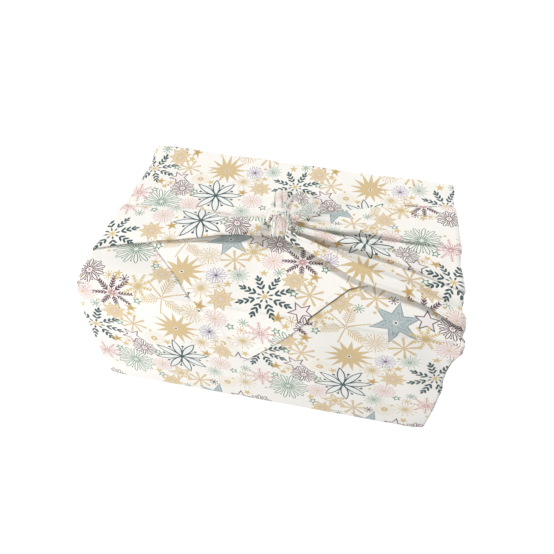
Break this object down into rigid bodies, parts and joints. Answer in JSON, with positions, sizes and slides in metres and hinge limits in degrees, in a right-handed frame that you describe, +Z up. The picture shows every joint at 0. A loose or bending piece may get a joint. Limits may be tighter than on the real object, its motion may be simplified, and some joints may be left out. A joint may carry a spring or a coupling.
{
  "type": "furoshiki wrap",
  "caption": "Square printed cloth folded round a box-shaped parcel and knotted on top, with a flat folded band on one side, a pleated fan on the other and two short free tips.",
  "frame": {"origin": "middle of the parcel's underside, on the surface that it stands on", "axes": "+X along the parcel's long side towards the pleated fan, +Y from the wall with the hanging corner towards the one opposite, +Z up"},
  "size_m": [0.3201, 0.2009, 0.1543],
  "materials": {
    "printed_cotton": "plain-woven printed cotton, matt"
  },
  "bodies": {
    "root": {"furoshiki_cloth": "printed_cotton"}
  },
  "joints": []
}
